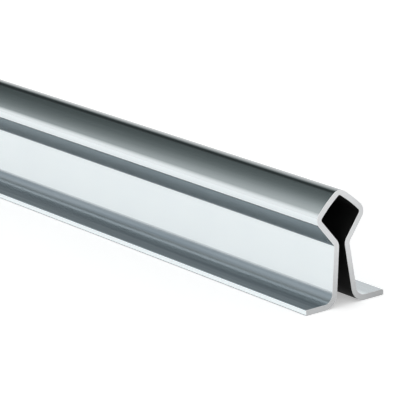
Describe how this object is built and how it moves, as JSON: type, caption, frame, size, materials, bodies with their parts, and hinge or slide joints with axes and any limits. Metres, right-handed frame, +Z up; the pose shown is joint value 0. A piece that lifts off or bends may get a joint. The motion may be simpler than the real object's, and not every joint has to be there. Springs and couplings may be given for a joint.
{
  "type": "sliding gate track",
  "caption": "Straight roll-formed steel track for a sliding gate: diamond-shaped hollow head with a rounded ridge for a grooved wheel, on two splayed legs with flat feet turned outward.",
  "frame": {"origin": "on the floor under the middle of the track: half way along it and midway between the two feet", "axes": "+X along the track, +Y across it, +Z up from the undersides of the feet to the ridge"},
  "size_m": [1, 0.048, 0.06],
  "materials": {
    "zinc_plated_steel": "bright zinc plate, smooth from the rolls"
  },
  "bodies": {
    "root": {"gate_track": "zinc_plated_steel"}
  },
  "joints": []
}
